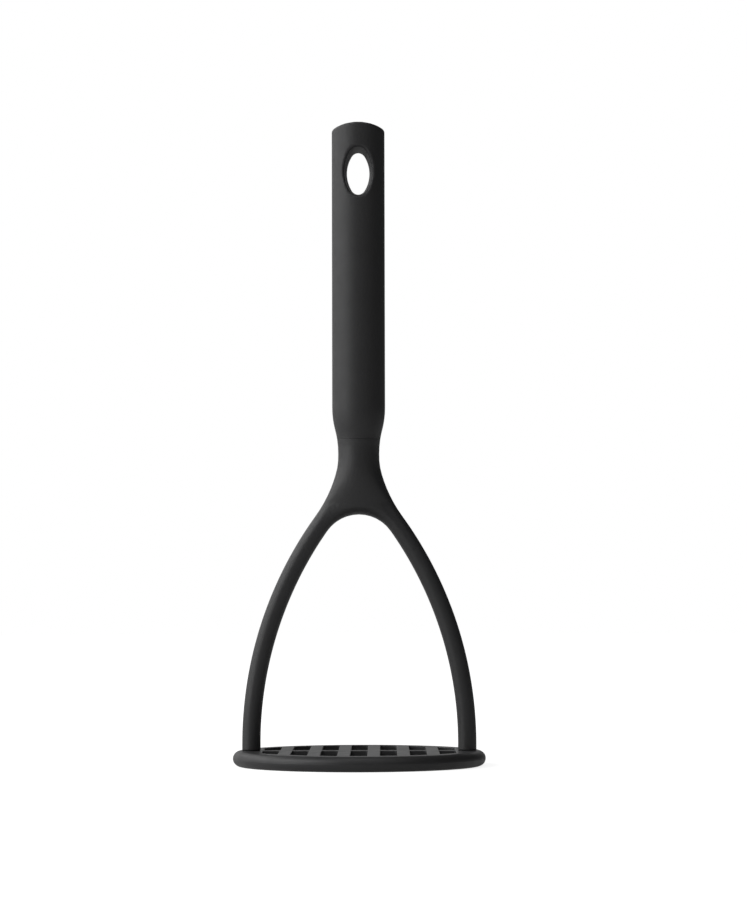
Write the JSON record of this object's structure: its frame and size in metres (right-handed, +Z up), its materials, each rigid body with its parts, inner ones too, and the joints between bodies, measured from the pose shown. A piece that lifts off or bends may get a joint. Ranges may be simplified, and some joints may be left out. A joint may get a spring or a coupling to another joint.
{
  "type": "potato masher",
  "caption": "Potato masher with a straight round grip, a hanging hole, a wishbone of round legs and a round slotted plate.",
  "frame": {"origin": "centre of the plate's flat underside, the face that the masher stands on", "axes": "+Z up along the handle, towards the hanging hole; X along the line through the two legs; Y from the front face to the back, along the hanging hole"},
  "size_m": [0.1, 0.1, 0.2548],
  "materials": {
    "nylon": "fine satin, glass-filled nylon",
    "soft_touch": "fine matte, soft-touch elastomer",
    "plate_nylon": "fine satin, glass-filled nylon"
  },
  "bodies": {
    "root": {"frame": "nylon", "grip": "soft_touch", "mashing_plate": "plate_nylon"}
  },
  "joints": []
}
